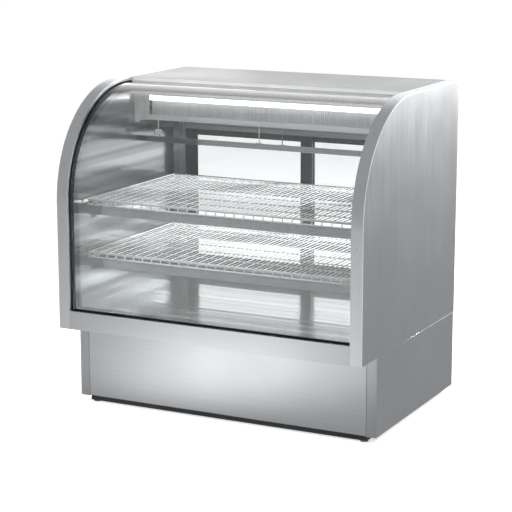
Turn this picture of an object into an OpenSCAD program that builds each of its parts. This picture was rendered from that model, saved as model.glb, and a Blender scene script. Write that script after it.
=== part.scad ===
// Curved-glass refrigerated deli case, as an assembly of its separate pieces.
// Millimetres. +X to the right of a customer, +Y to the back, +Z up.
// The origin is on the floor, under the middle of the case.

/* [Case] */
// Width over the two end walls
case_w = 1226; // [1000:1:1500]
// Depth from the front trim to the rear panel
case_d = 895; // [820:1:1100]
// Height from the floor to the top panel
case_h = 1213; // [1160:1:1460]
// Height of the underside of the insulated body above the floor
body_z = 318; // [265:1:382]
// Thickness of each insulated end wall
end_t = 46; // [38:1:56]
// Thickness of the insulated floor
floor_t = 66; // [55:1:80]
// Thickness of the insulated top
top_t = 50; // [50:1:60]
// Thickness of the insulated wall around the rear doors
rear_t = 46; // [46:1:60]
// Thickness of the folded stainless sheets
sheet_t = 1.5; // [1.2:0.1:2]

/* [Front] */
// Outer radius of the curved front
glass_r = 420; // [350:1:440]
// Height of the metal apron under the glass
apron_h = 70; // [60:1:84]
// Thickness of the edge trim strips
trim_t = 2; // [1.5:0.1:3]
// Depth of the trim's fold towards the glass
trim_fold = 15; // [12:0.5:15]
// Distance between the trim's screws, along the strip
screw_pitch = 206; // [165:1:247]
// Head diameter of the trim's screws
screw_head_d = 7; // [5:0.1:9]
// How far the glass lies behind the face of the trim
glass_set = 17; // [16:0.5:19]
// Thickness of the insulated glass unit
glass_unit_t = 30; // [26:0.5:31]
// Thickness of the outer pane
pane_t = 6; // [4:0.5:8]
// Thickness of the inner pane
inner_pane_t = 5; // [4:0.5:6]
// How far the glass runs behind the trim at each end
glass_bite = 15; // [10:1:20]
// Where the glass ends at the top, from the crown of the curve
glass_flat = 56; // [40:0.5:70]

/* [Base] */
// How far the base's front stands behind the apron
base_setback = 137.5; // [110:0.5:165]
// Depth of the base panels' folds beside the front panel
base_fold = 38; // [30:1:46]
// Height of the steel base rails
rail_h = 20; // [16:1:24]
// Width of the steel base rails
rail_w = 34; // [30:1:40]
// Thickness of the pad of a levelling foot
foot_pad_t = 6; // [5:0.5:8]
// Diameter of the pad of a levelling foot
foot_pad_d = 30; // [24:1:34]
// Diameter of the screw of a levelling foot
foot_stud_d = 10; // [8:0.5:12]

/* [Interior] */
// Height of the top of the lower shelf
lower_shelf_z = 593; // [560:1:620]
// Height of the top of the upper shelf
upper_shelf_z = 792; // [760:1:820]
// Distance of the shelves behind the front trim
shelf_front = 127.5; // [110:0.5:160]
// Distance of the shelves in front of the rear wall
shelf_rear = 62; // [50:1:75]
// Diameter of the shelf wire
wire_d = 4; // [3:0.5:5]
// Distance between the shelf's wires
wire_pitch = 38; // [25:1:50]
// Height of a shelf's front edge
shelf_edge_h = 25; // [20:1:30]
// Height of the rails under a shelf
shelf_rail_h = 33; // [26:1:38]
// Diameter of the lamp tube
lamp_d = 20; // [16:1:25]
// Distance of the lamp behind the middle of the case
lamp_y = 100; // [96:1:110]
// Height of the finned coil
coil_h = 62; // [50:1:74]
// Depth of the finned coil
coil_depth = 182; // [150:1:190]
// Diameter of the coil's tubes
coil_tube_d = 10; // [8:0.5:12]
// Height of the drip pan's front lower edge above the floor
pan_z = 954; // [945:1:965]
// Slope of the drip pan down to the rear
pan_slope = 9.5; // [4:0.5:11]
// Height of the drip pan's wall
pan_h = 22; // [16:1:26]

/* [Rear doors] */
// Height of the sill of the rear opening above the deck
sill_h = 16; // [12:1:24]
// Height of the top of the rear opening above the floor
opening_top = 990; // [980:1:1030]
// Width of the wall at each side of the rear opening
jamb_w = 27; // [20:1:40]
// Width of a door's stiles and rails
stile_w = 50; // [40:1:56]
// Thickness of a door
door_t = 12; // [10:0.5:13]
// Play on each side of a door in its track
door_play = 2; // [1:0.25:3]
// Thickness of a door's glass
door_glass_t = 8; // [5:0.5:8]

/* [Machine compartment] */
// Diameter of the compressor's shell
shell_d = 180; // [150:1:200]
// Height of the compressor's shell
shell_h = 190; // [158:1:205]
// Diameter of the fan
fan_d = 200; // [168:1:205]
// Diameter of the fan's hub
hub_d = 44; // [36:1:60]
// Diameter of the control knob
knob_d = 36; // [30:1:44]
// Diameter of the control knob's shaft
knob_shaft_d = 6; // [5:0.5:8]
// Radial clearance of a turning piece on its shaft
turn_gap = 0.05; // [0.03:0.01:0.1]
// Bore of the power cord's entry
cord_bore = 9; // [7:0.5:12]
// Bore of the drain tube
drain_bore = 15; // [12:0.5:20]

/* [Hidden] */
$fn = 64;
eps = 0.01;

// Outer faces and the inside of the case
front_y = -case_d / 2;
back_y = case_d / 2;
half_w = case_w / 2;
in_x = half_w - end_t;
arc_y = front_y + glass_r;
arc_z = case_h - glass_r;
deck_z = body_z + floor_t;
apron_top = body_z + apron_h;
ceiling_z = case_h - top_t;
rear_in_y = back_y - rear_t;

// The glass unit and the seal that holds it, as depths behind the face of the trim
gasket_lip = 2;
unit_back = glass_set + glass_unit_t;
gasket_back = unit_back + gasket_lip;
glass_foot_z = apron_top - 18;
gasket_foot_z = glass_foot_z - 6;
gasket_ledge = 2;
glass_end_y = arc_y + glass_flat;
head_seal = 1.5;
head_y = glass_end_y + head_seal;
gasket_x = in_x + glass_bite + 10;
pane_x = in_x + glass_bite;
spacer_w = 12;

// The front face of the base and what stands in it
base_y = front_y + base_setback;
panel_z = foot_pad_t + rail_h + 2;
base_x = half_w - 2;
panel_gap = 1;
floor_pan_z = foot_pad_t + rail_h;
machine_z = floor_pan_z + sheet_t;
rail_x = half_w - 41;
rail_y0 = base_y + 10;
rail_y1 = back_y - 8;
foot_x = rail_x - rail_w / 2;

// Shelves
shelf_y0 = front_y + shelf_front;
shelf_y1 = rear_in_y - shelf_rear;
shelf_x = in_x - 10;
shelf_rail_w = 18;

// Lamp, coil and drip pan
fit_x = in_x - 22;
lamp_z = ceiling_z - 34;
coil_y = lamp_y + 22;
coil_top = lamp_z - lamp_d / 2;
coil_z = coil_top - coil_h;
coil_lip_z = coil_z - 19;
coil_x = fit_x - 15;
rod_d = 4;
rod_y = coil_y - 6.5;
pan_y0 = lamp_y;
pan_len = coil_depth + 53;
rod_x = [-fit_x + 45, -60, fit_x - 45];
tube_rows = [for (i = [1:3]) coil_y + i * coil_depth / 4];
tube_levels = [coil_z + coil_h * 0.3, coil_z + coil_h * 0.7];
line_d = 12;
line_y = rear_in_y - 30;
line_x = in_x + end_t / 2;

// Rear opening, its tracks and its doors
open_x = in_x - jamb_w;
sill_z = deck_z + sill_h;
lane_w = door_t + 2 * door_play;
rib_t = 2.5;
track_base = 4;
track_y0 = rear_in_y + (rear_t - 2 * lane_w - 3 * rib_t) / 2;
lane_y = [track_y0 + rib_t + lane_w / 2, track_y0 + 2 * rib_t + lane_w * 1.5];
bottom_rib = 8;
top_rib = 14;
door_z0 = sill_z + track_base + 4;
door_z1 = opening_top - track_base - 4;
door_overlap = stile_w;
door_w = open_x + door_overlap / 2 - 0.5;
groove = 6;

// Machine compartment
shell_at = [-230, 130];
condenser_y = back_y - 62;
grommet_h = 12;
foot_plate_t = 3;
coil_at = [150, 420];
fan_x = (coil_at[0] + coil_at[1]) / 2;
fan_z = machine_z + 20 + (fan_d + 16) / 2;
fan_y = back_y - 104;
motor_y0 = fan_y - 74;
motor_y1 = fan_y - 14;
box_at = [-540, -430];
box_y0 = back_y - 122;
box_y1 = back_y - 22;
box_z = [machine_z + 60, machine_z + 220];
knob_x = (box_at[0] + box_at[1]) / 2;
knob_z = box_z[1] - 42;
knob_t = 15;
switch_z = box_z[0] + 36;
inlet_at = [-360, machine_z + 50];
gland_d = cord_bore + 12;
drain_at = [330, 150];
drain_d = drain_bore + 5;
pan_depth = 32;

// ---- Shared shapes ----

// A box between two corners
module slab(x0, x1, y0, y1, z0, z1) {
    translate([x0, y0, z0]) cube([x1 - x0, y1 - y0, z1 - z0]);
}

// A box that is as wide to the left as to the right
module centred(x, y0, y1, z0, z1) {
    slab(-x, x, y0, y1, z0, z1);
}

// An outline in the Y and Z directions, extruded from x0 to x1
module along_x(x0, x1) {
    translate([x0, 0, 0]) rotate([90, 0, 90]) linear_extrude(x1 - x0) children();
}

// The end wall's outline, set back by a depth from its front, curve and top
module profile(cut) {
    translate([front_y + cut, body_z]) square([glass_r - cut, arc_z - body_z + eps]);
    translate([arc_y - eps, body_z]) square([back_y - arc_y + eps, case_h - cut - body_z]);
    intersection() {
        translate([arc_y, arc_z]) circle(glass_r - cut, $fn = 128);
        translate([front_y, arc_z]) square(glass_r + eps);
    }
}

// The layer of that outline between two depths, as far as the glass or its seal runs
module front_layer(cut0, cut1, foot_z, end_y) {
    intersection() {
        difference() {
            profile(cut0);
            profile(cut1);
        }
        translate([front_y - 1, foot_z]) square([end_y - front_y + 1, case_h - foot_z + 1]);
    }
}

// The same shape on the right or, mirrored, on the left
module on_side(side) {
    if (side > 0) children();
    else mirror([1, 0, 0]) children();
}

// The place and the slope of a point on the front, by its distance along the trim
straight_len = arc_z - body_z;
curve_len = PI * glass_r / 2;
function front_point(s) =
    s < straight_len ? [front_y, body_z + s, 0]
    : s < straight_len + curve_len
        ? let (a = (s - straight_len) / glass_r * 180 / PI)
            [arc_y - glass_r * cos(a), arc_z + glass_r * sin(a), a]
        : [arc_y + s - straight_len - curve_len, case_h, 90];
trim_len = straight_len + curve_len + back_y - arc_y;
screw_len = trim_fold - 1;
screw_places = [for (s = [screw_pitch:screw_pitch:trim_len - 20]) front_point(s)];

// A screw, or its hole, at a place on the front, pointing into the wall
module at_front(place, x) {
    translate([x, place[0], place[1]]) rotate([-place[2], 0, 0]) rotate([-90, 0, 0]) children();
}

// A pipe through a list of points, with a brazed ball at each corner
module pipe(points, d) {
    for (i = [0:len(points) - 2]) {
        run = points[i + 1] - points[i];
        translate(points[i])
            rotate([0, acos(run[2] / norm(run)), atan2(run[1], run[0])])
            cylinder(h = norm(run), d = d, $fn = 24);
    }
    for (i = [1:1:len(points) - 2]) translate(points[i]) sphere(d = d * 1.15, $fn = 24);
}

shell_side = shell_at[0] + shell_d / 2;
suction_z = machine_z + 150;
suction_path = [
    [shell_side, shell_at[1], suction_z], [shell_side + 30, shell_at[1], suction_z],
    [shell_side + 30, motor_y0 - 30, suction_z], [line_x, motor_y0 - 30, suction_z],
    [line_x, line_y, suction_z], [line_x, line_y, tube_levels[1]],
    [in_x - 14, line_y, tube_levels[1]], [in_x - 14, tube_rows[2], tube_levels[1]],
    [fit_x, tube_rows[2], tube_levels[1]]
];
in_wall = [for (i = [4:6]) suction_path[i]];
condenser_end = 5;
condenser_row = condenser_y + 10;
condenser_z = [for (z = [machine_z + 30:40:fan_z * 2 - machine_z - 30]) z];
discharge_path = [
    [shell_side, shell_at[1], condenser_z[2]], [coil_at[0] - 25, shell_at[1], condenser_z[2]],
    [coil_at[0] - 25, condenser_row, condenser_z[2]],
    [coil_at[0] - condenser_end, condenser_row, condenser_z[2]]
];
drier_x = [coil_at[1] + condenser_end + 15, coil_at[1] + condenser_end + 135];
liquid_path = [
    [drier_x[1], condenser_row, condenser_z[1]], [line_x, condenser_row, condenser_z[1]],
    [line_x, condenser_row, body_z]
];

// ---- Base ----

module base_rails() {
    color("#3a3d40") difference() {
        slab(-rail_x, rail_x, rail_y0, rail_y1, foot_pad_t, foot_pad_t + rail_h);
        slab(-rail_x + rail_w, rail_x - rail_w, rail_y0 + rail_w, rail_y1 - rail_w,
            0, case_h);
        rail_groove();
        for (x = [-foot_x, foot_x], y = [rail_y0 + rail_w / 2, rail_y1 - rail_w / 2])
            translate([x, y, 0]) cylinder(h = case_h, d = foot_stud_d + 2 * turn_gap);
    }
}

// The hollow of the rails, open at the top under the floor pan
module rail_groove() {
    wall = 3;
    difference() {
        slab(-rail_x + wall, rail_x - wall, rail_y0 + wall, rail_y1 - wall,
            foot_pad_t + wall, case_h);
        slab(-rail_x + rail_w - wall, rail_x - rail_w + wall,
            rail_y0 + rail_w - wall, rail_y1 - rail_w + wall, 0, case_h + 1);
    }
}

// A pad on a screw that turns up into the base rail
module leveling_foot(side, y) {
    color("#8d9194") translate([side * foot_x, y, 0]) {
        cylinder(h = foot_pad_t, d = foot_pad_d);
        cylinder(h = foot_pad_t + rail_h - 2, d = foot_stud_d);
    }
}
module leveling_foot_fl() { leveling_foot(-1, rail_y0 + rail_w / 2); }
module leveling_foot_fr() { leveling_foot(1, rail_y0 + rail_w / 2); }
module leveling_foot_rl() { leveling_foot(-1, rail_y1 - rail_w / 2); }
module leveling_foot_rr() { leveling_foot(1, rail_y1 - rail_w / 2); }

module base_floor_pan() {
    color("#b9bdbf")
        centred(base_x - sheet_t, base_y + sheet_t, back_y - sheet_t, floor_pan_z, machine_z);
}

module base_posts() {
    leg = 30;
    t = 2;
    color("#b9bdbf") for (side = [-1, 1], back = [0, 1]) on_side(side) {
        x1 = base_x - sheet_t;
        y0 = back ? back_y - sheet_t - leg : base_y + sheet_t;
        slab(x1 - t, x1, y0, y0 + leg, machine_z, body_z);
        slab(x1 - leg, x1 - t, back ? y0 + leg - t : y0, back ? y0 + leg : y0 + t,
            machine_z, body_z);
    }
}

module base_front_panel() {
    color("#c9cccd")
        centred(base_x - base_fold - panel_gap, base_y, base_y + sheet_t, panel_z, body_z);
}

module base_side_panel(side) {
    color("#bcbfc1") on_side(side) {
        slab(base_x - sheet_t, base_x, base_y, back_y, panel_z - 4, body_z);
        slab(base_x - base_fold, base_x - sheet_t + eps, base_y, base_y + sheet_t,
            panel_z - 4, body_z);
        slab(base_x - base_fold, base_x - sheet_t + eps, back_y - sheet_t, back_y,
            panel_z - 4, body_z);
    }
}
module base_side_panel_left() { base_side_panel(-1); }
module base_side_panel_right() { base_side_panel(1); }

module base_rear_grille() {
    slot_h = 7;
    slot_pitch = 18;
    top = body_z - 20;
    x1 = base_x - base_fold - panel_gap;
    color("#c2c5c6") difference() {
        centred(x1, back_y - sheet_t, back_y, panel_z, body_z);
        for (z = [panel_z + 24:slot_pitch:top - slot_h])
            slab(coil_at[0] - 20, coil_at[1] + 20, back_y - 10, back_y + 1, z, z + slot_h);
        for (z = [panel_z + 24:slot_pitch:top - slot_h])
            slab(shell_at[0] - 60, shell_at[0] + 220, back_y - 10, back_y + 1, z, z + slot_h);
        slab(knob_x - 34, knob_x + 34, back_y - 10, back_y + 1, switch_z - 26, knob_z + 30);
        translate([inlet_at[0], back_y - 10, inlet_at[1]])
            rotate([-90, 0, 0]) cylinder(h = 20, d = gland_d);
    }
}

// ---- Machine compartment ----

grommet_places = [for (x = [-75, 75], y = [-75, 75]) [shell_at[0] + x, shell_at[1] + y]];

module compressor() {
    z0 = machine_z + grommet_h;
    r = shell_d / 2;
    dome = shell_d / 6;
    color("#26282a") {
        difference() {
            slab(shell_at[0] - 92, shell_at[0] + 92, shell_at[1] - 92, shell_at[1] + 92,
                z0, z0 + foot_plate_t);
            for (p = grommet_places) translate([p[0], p[1], 0]) cylinder(h = case_h, d = 9);
        }
        translate([shell_at[0], shell_at[1], z0 + foot_plate_t - eps]) {
            cylinder(h = shell_h - dome, d = shell_d);
            translate([0, 0, shell_h - dome - eps])
                rotate_extrude() polygon([[0, 0], [r, 0], [r * 0.93, dome * 0.5],
                    [r * 0.72, dome * 0.82], [0, dome]]);
        }
        translate([shell_at[0] - r - 14, shell_at[1] - 28, z0 + 60]) cube([40, 56, 66]);
    }
}

module compressor_grommets() {
    color("#1b1b1b") for (p = grommet_places) translate([p[0], p[1], machine_z]) {
        cylinder(h = grommet_h, d = 20);
        cylinder(h = grommet_h + foot_plate_t + 6, d = 9);
    }
}

module condenser_coil() {
    rows = [condenser_row, condenser_row + 20];
    tube_len = coil_at[1] - coil_at[0] + 2 * condenser_end;
    color("#a9adb0")
        slab(coil_at[0], coil_at[1], condenser_y, condenser_y + 40, machine_z + 8,
            fan_z * 2 - machine_z - 8);
    color("#b4703f") for (z = condenser_z, y = rows)
        translate([coil_at[0] - condenser_end, y, z])
        rotate([0, 90, 0]) cylinder(h = tube_len, d = 9);
}

module fan_shroud() {
    y1 = condenser_y;
    y0 = y1 - 26;
    color("#9ea2a5") difference() {
        slab(coil_at[0], coil_at[1], y0, y1, machine_z, fan_z * 2 - machine_z);
        slab(coil_at[0] + 2, coil_at[1] - 2, y0 + 2, y1 + 1, machine_z + 2,
            fan_z * 2 - machine_z - 2);
        translate([fan_x, y0 - 1, fan_z]) rotate([-90, 0, 0]) cylinder(h = 10, d = fan_d + 12);
    }
}

module fan_motor() {
    arm_w = 16;
    color("#55595c") {
        translate([fan_x, motor_y0, fan_z]) rotate([-90, 0, 0]) {
            cylinder(h = motor_y1 - motor_y0, d = 70);
            cylinder(h = fan_y - motor_y0 + 16, d = 8);
        }
        slab(fan_x - arm_w / 2, fan_x + arm_w / 2, motor_y0 + 20, motor_y0 + 36,
            machine_z, fan_z);
        slab(fan_x - 50, fan_x + 50, motor_y0 + 8, motor_y0 + 48, machine_z, machine_z + 3);
    }
}

module fan_blade() {
    blades = 5;
    hub_t = 24;
    color("#d8dadb") translate([fan_x, fan_y - 8, fan_z]) rotate([-90, 0, 0]) difference() {
        union() {
            cylinder(h = hub_t, d = hub_d);
            for (i = [0:blades - 1]) rotate([0, 0, i * 360 / blades])
                translate([hub_d / 2 - 3, 0, hub_t / 2]) rotate([28, 0, 0])
                translate([0, -26, -1]) cube([(fan_d - hub_d) / 2 + 1, 52, 2]);
        }
        translate([0, 0, -1]) cylinder(h = hub_t + 2, d = 8 + 2 * turn_gap);
        difference() {
            translate([0, 0, -50]) cylinder(h = 100, d = fan_d * 2);
            translate([0, 0, -51]) cylinder(h = 102, d = fan_d);
        }
    }
}

module filter_drier() {
    neck = 12;
    length = drier_x[1] - drier_x[0];
    color("#b4703f") translate([drier_x[0], condenser_row, condenser_z[1]])
        rotate([0, 90, 0]) {
        cylinder(h = length, d = 8);
        translate([0, 0, neck]) cylinder(h = length - 2 * neck, d = 26);
        translate([0, 0, -15]) cylinder(h = 15 + eps, d = 8);
    }
}

module refrigerant_lines() {
    color("#b4703f") {
        pipe(suction_path, line_d);
        pipe(liquid_path, 8);
        pipe(discharge_path, 8);
    }
}

module condensate_pan() {
    t = 2;
    x = [drain_at[0] - 110, drain_at[0] + 110];
    y = [drain_at[1] - 170, drain_at[1] + 50];
    color("#9ea2a5") difference() {
        slab(x[0], x[1], y[0], y[1], machine_z, machine_z + pan_depth);
        slab(x[0] + t, x[1] - t, y[0] + t, y[1] - t, machine_z + t, machine_z + pan_depth + 1);
    }
}

module electrical_box() {
    color("#2f3235") {
        difference() {
            slab(box_at[0], box_at[1], box_y0, box_y1, box_z[0], box_z[1]);
            slab(knob_x - 11, knob_x + 11, box_y1 - 16, box_y1 + 1, switch_z - 15, switch_z + 15);
        }
        translate([knob_x, box_y1 - eps, knob_z])
            rotate([-90, 0, 0]) cylinder(h = knob_t - 3, d = knob_shaft_d);
        translate([knob_x - 12, box_y1 - 6, switch_z])
            rotate([0, 90, 0]) cylinder(h = 24, d = 3);
        slab(box_at[0] + 10, box_at[0] + 40, box_y0, box_y1, machine_z, box_z[0] + eps);
    }
}

module thermostat_knob() {
    color("#17181a") translate([knob_x, box_y1 + 0.5, knob_z]) rotate([-90, 0, 0])
        difference() {
        union() {
            cylinder(h = knob_t, d = knob_d);
            translate([-3, -knob_d / 2 + 1, knob_t - eps]) cube([6, knob_d - 2, 4]);
        }
        translate([0, 0, -1])
            cylinder(h = knob_t - 1.5, d = knob_shaft_d + 2 * turn_gap);
    }
}

// A rocker, tilted to its "on" side, on a pin across the switch's pocket
module light_switch() {
    color("#17181a") translate([knob_x, box_y1 - 6, switch_z]) rotate([-8, 0, 0])
        difference() {
        slab(-10, 10, -3, 8, -13, 13);
        translate([-11, 0, 0]) rotate([0, 90, 0]) cylinder(h = 22, d = 3 + 2 * turn_gap);
        for (end = [-1, 1]) translate([-11, 8, end * 13]) rotate([0, 90, 0])
            cylinder(h = 22, r = 3);
    }
}

module power_inlet() {
    color("#17181a") translate([inlet_at[0], back_y - 24, inlet_at[1]]) rotate([-90, 0, 0])
        difference() {
        union() {
            cylinder(h = 24, d = gland_d);
            cylinder(h = 24 - sheet_t, d = gland_d + 8, $fn = 6);
        }
        translate([0, 0, -1]) cylinder(h = 26, d = cord_bore);
    }
}

module drain_tube() {
    color("#c9ccce") translate([drain_at[0], drain_at[1], machine_z + pan_depth - 12])
        difference() {
        cylinder(h = deck_z - machine_z - pan_depth + 12 - sheet_t, d = drain_d);
        translate([0, 0, -1]) cylinder(h = deck_z, d = drain_bore);
    }
}

// ---- Insulated body ----

module floor_underpan() {
    color("#b9bdbf") difference() {
        centred(in_x, front_y + 30, back_y, body_z, body_z + sheet_t);
        translate([drain_at[0], drain_at[1], 0]) cylinder(h = case_h, d = drain_d);
    }
}

// Foam of the floor, the top and the wall around the rear doors, foamed as one block
module cabinet_foam() {
    color("#e8dfb8") difference() {
        union() {
            centred(in_x, front_y + sheet_t, rear_in_y, body_z + sheet_t, deck_z - sheet_t);
            centred(in_x, head_y + sheet_t, rear_in_y + sheet_t, ceiling_z + sheet_t,
                case_h - sheet_t);
            centred(in_x, rear_in_y + sheet_t, back_y - sheet_t, body_z + sheet_t,
                case_h - sheet_t);
            centred(in_x, rear_in_y - eps, rear_in_y + sheet_t + eps, body_z + sheet_t,
                deck_z - sheet_t);
        }
        centred(open_x + sheet_t, rear_in_y - 1, back_y + 1, sill_z - sheet_t,
            opening_top + sheet_t);
        centred(in_x + 1, front_y, front_y + gasket_back + sheet_t, gasket_foot_z, case_h / 2);
        translate([drain_at[0], drain_at[1], 0]) cylinder(h = deck_z + 1, d = drain_d);
    }
}

module deck_pan() {
    y0 = front_y + gasket_back;
    color("#d3d6d7") difference() {
        union() {
            centred(in_x, y0, rear_in_y, deck_z - sheet_t, deck_z);
            centred(in_x, y0, y0 + sheet_t, gasket_foot_z, apron_top);
        }
        translate([drain_at[0], drain_at[1], 0]) cylinder(h = case_h, d = drain_bore);
    }
}

module front_apron() {
    color("#c9cccd") {
        centred(in_x, front_y, front_y + sheet_t, body_z, apron_top);
        centred(in_x, front_y, front_y + 30, body_z, body_z + sheet_t);
    }
}

module end_skin(side) {
    color("#bcbfc1") on_side(side) difference() {
        union() {
            along_x(half_w - sheet_t, half_w) profile(trim_t);
            slab(in_x, half_w - sheet_t + eps, front_y + trim_t, back_y, body_z,
                body_z + sheet_t);
            slab(in_x, half_w - sheet_t + eps, back_y - sheet_t, back_y, body_z,
                case_h - trim_t);
        }
        if (side > 0) translate([line_x, line_y, 0]) cylinder(h = case_h / 2, d = line_d + 2);
    }
}
module end_skin_left() { end_skin(-1); }
module end_skin_right() { end_skin(1); }

module end_foam() {
    color("#e8dfb8") for (side = [-1, 1]) on_side(side) difference() {
        intersection() {
            along_x(in_x + sheet_t, half_w - sheet_t) profile(trim_t);
            slab(0, case_w, front_y, back_y - sheet_t, body_z + sheet_t, case_h);
        }
        along_x(in_x - 1, gasket_x)
            front_layer(trim_fold, gasket_back, gasket_foot_z, head_y);
        for (p = screw_places) at_front(p, in_x + end_t / 2)
            cylinder(h = screw_len, d = screw_head_d * 0.5);
        if (side > 0) pipe(in_wall, line_d * 1.3);
    }
}

module end_liner(side) {
    color("#cfd2d4") on_side(side) difference() {
        intersection() {
            along_x(in_x, in_x + sheet_t) profile(gasket_back);
            slab(0, case_w, front_y, back_y - sheet_t, body_z + sheet_t, ceiling_z + sheet_t);
        }
        if (side > 0) translate([in_x - 1, line_y, tube_levels[1]])
            rotate([0, 90, 0]) cylinder(h = 10, d = line_d + 2);
    }
}
module end_liner_left() { end_liner(-1); }
module end_liner_right() { end_liner(1); }

module end_trim(side) {
    color("#b0b3b5") on_side(side) difference() {
        union() {
            along_x(in_x, half_w) front_layer(0, trim_t, body_z, back_y);
            along_x(in_x, in_x + sheet_t) front_layer(trim_t, trim_fold, body_z, head_y);
        }
        for (p = screw_places) at_front(p, in_x + end_t / 2)
            translate([0, 0, -1]) cylinder(h = trim_t + 2, d = screw_head_d);
        slab(in_x - 1, in_x + sheet_t + eps, front_y + trim_t, front_y + 30, body_z - 1,
            body_z + sheet_t);
    }
}
module end_trim_left() { end_trim(-1); }
module end_trim_right() { end_trim(1); }

module trim_screws() {
    color("#e2e4e5") for (side = [-1, 1], p = screw_places) on_side(side)
        at_front(p, in_x + end_t / 2) {
        translate([0, 0, 0.3]) cylinder(h = trim_t - 0.3, d = screw_head_d);
        cylinder(h = screw_len, d = screw_head_d * 0.5);
    }
}

module glass_gaskets() {
    color("#101112") {
        for (side = [-1, 1]) on_side(side) difference() {
            along_x(in_x, gasket_x)
                front_layer(trim_fold, gasket_back, gasket_foot_z, head_y);
            along_x(in_x - 1, pane_x)
                front_layer(glass_set, unit_back, glass_foot_z, glass_end_y);
        }
        difference() {
            centred(in_x, front_y + sheet_t, front_y + gasket_back, gasket_foot_z,
                apron_top - gasket_ledge);
            centred(case_w, front_y + glass_set, front_y + unit_back, glass_foot_z, case_h);
        }
        centred(in_x, glass_end_y, head_y, case_h - gasket_back, case_h - trim_fold);
    }
}

module pane(cut0, cut1) {
    along_x(-pane_x, pane_x) front_layer(cut0, cut1, glass_foot_z, glass_end_y);
}
module glass_outer() {
    color([0.8, 0.87, 0.88, 0.3]) pane(glass_set, glass_set + pane_t);
}
module glass_inner() {
    color([0.8, 0.87, 0.88, 0.3]) pane(unit_back - inner_pane_t, unit_back);
}

// The black sealed frame between the two panes, along all four edges
module glass_spacer() {
    color("#0c0d0e") difference() {
        along_x(-pane_x, pane_x) front_layer(glass_set + pane_t, unit_back - inner_pane_t,
            glass_foot_z, glass_end_y);
        along_x(-in_x - 1, in_x + 1) front_layer(glass_set, unit_back,
            glass_foot_z + spacer_w, glass_end_y - spacer_w);
    }
}

module top_panel() {
    color("#c4c7c8") {
        centred(in_x, head_y, back_y, case_h - sheet_t, case_h);
        centred(in_x, head_y, head_y + sheet_t, ceiling_z + sheet_t, case_h);
    }
}

module ceiling_liner() {
    valance_h = 15;
    color("#cfd2d4") {
        centred(in_x, head_y, rear_in_y, ceiling_z, ceiling_z + sheet_t);
        centred(in_x, head_y, head_y + sheet_t, ceiling_z - valance_h, ceiling_z + sheet_t);
    }
}

// ---- Lamp, coil and drip pan ----

module lamp_housing() {
    color("#eceeee") {
        centred(fit_x, lamp_y - 12, lamp_y + 12, lamp_z + lamp_d / 2 + 4, ceiling_z);
        for (side = [-1, 1]) on_side(side)
            slab(fit_x - 20, fit_x, lamp_y - 10, lamp_y + 10, lamp_z - lamp_d / 2,
                lamp_z + lamp_d / 2 + 4 + eps);
    }
}

module lamp_tube() {
    color("#ffffff") translate([-fit_x + 20, lamp_y, lamp_z])
        rotate([0, 90, 0]) cylinder(h = 2 * fit_x - 40, d = lamp_d);
}

module evaporator_fins() {
    color("#b7bbbe") difference() {
        centred(coil_x, coil_y, coil_y + coil_depth, coil_z, coil_top);
        for (y = tube_rows, z = tube_levels) translate([-coil_x - 1, y, z])
            rotate([0, 90, 0]) cylinder(h = 2 * coil_x + 2, d = coil_tube_d);
    }
}

module evaporator_tubes() {
    color("#b4703f") for (y = tube_rows, z = tube_levels) translate([-fit_x, y, z])
        rotate([0, 90, 0]) cylinder(h = 2 * fit_x, d = coil_tube_d);
}

// Channels on the end walls, and the two angle rails that carry the coil between them
module coil_brackets() {
    z0 = coil_lip_z;
    t = sheet_t;
    color("#e6e8e8") {
        for (side = [-1, 1]) on_side(side) {
            slab(in_x - t, in_x, lamp_y - 52, coil_y + 4, z0 - 3, ceiling_z - 17);
            slab(fit_x, in_x - t + eps, lamp_y - 52, lamp_y - 52 + t, z0 - 3, ceiling_z - 17);
            slab(fit_x, in_x - t + eps, coil_y + 4 - t, coil_y + 4, z0 - 3, ceiling_z - 17);
        }
        centred(fit_x, coil_y - 3, coil_y - 3 + t, z0, coil_z);
        centred(fit_x, coil_y - 3, coil_y + 16, coil_z - t, coil_z);
        centred(fit_x, coil_y + coil_depth + 3 - t, coil_y + coil_depth + 3, z0, coil_z);
        centred(fit_x, coil_y + coil_depth - 16, coil_y + coil_depth + 3, coil_z - t, coil_z);
    }
}

// Places children in the sloping frame of the pan, from its front lower edge
module in_pan() {
    translate([0, pan_y0, pan_z]) rotate([-pan_slope, 0, 0]) children();
}

module drip_pan() {
    t = sheet_t;
    color("#cfd2d4") in_pan() difference() {
        centred(fit_x, 0, pan_len, 0, pan_h);
        centred(fit_x - t, t, pan_len - t, t, pan_h + 1);
    }
}

// Rods to the ceiling, except at the two outer places in front: there a short rod hooks under the
// coil's lip, with a block round it
module pan_hangers() {
    clamp_w = 16;
    clamp_d = 14;
    block_w = 26;
    hook_h = 10;
    front_z = pan_z + 12;
    rear_y = coil_y + coil_depth + 12;
    rear_z = front_z - (rear_y - pan_y0) * tan(pan_slope);
    color("#e6e8e8") for (x = rod_x) {
        outer = x != rod_x[1];
        translate([x, rod_y, front_z])
            cylinder(h = (outer ? coil_lip_z + hook_h : ceiling_z) - front_z, d = rod_d);
        if (outer) {
            slab(x - clamp_w / 2, x + clamp_w / 2, rod_y - 3, coil_y - 3, coil_lip_z,
                coil_lip_z + hook_h);
            slab(x - block_w / 2, x + block_w / 2, rod_y - 4, rod_y + 4, pan_z + pan_h + 8,
                pan_z + pan_h + 26);
        }
        translate([x, rear_y, rear_z]) cylinder(h = ceiling_z - rear_z, d = rod_d);
        in_pan() for (y = [sheet_t, pan_len - sheet_t - 20])
            slab(x - clamp_w / 2, x + clamp_w / 2, y, y + (y == sheet_t ? clamp_d : 20), 8, pan_h + 4);
    }
}

// ---- Rear opening and its doors ----

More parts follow.
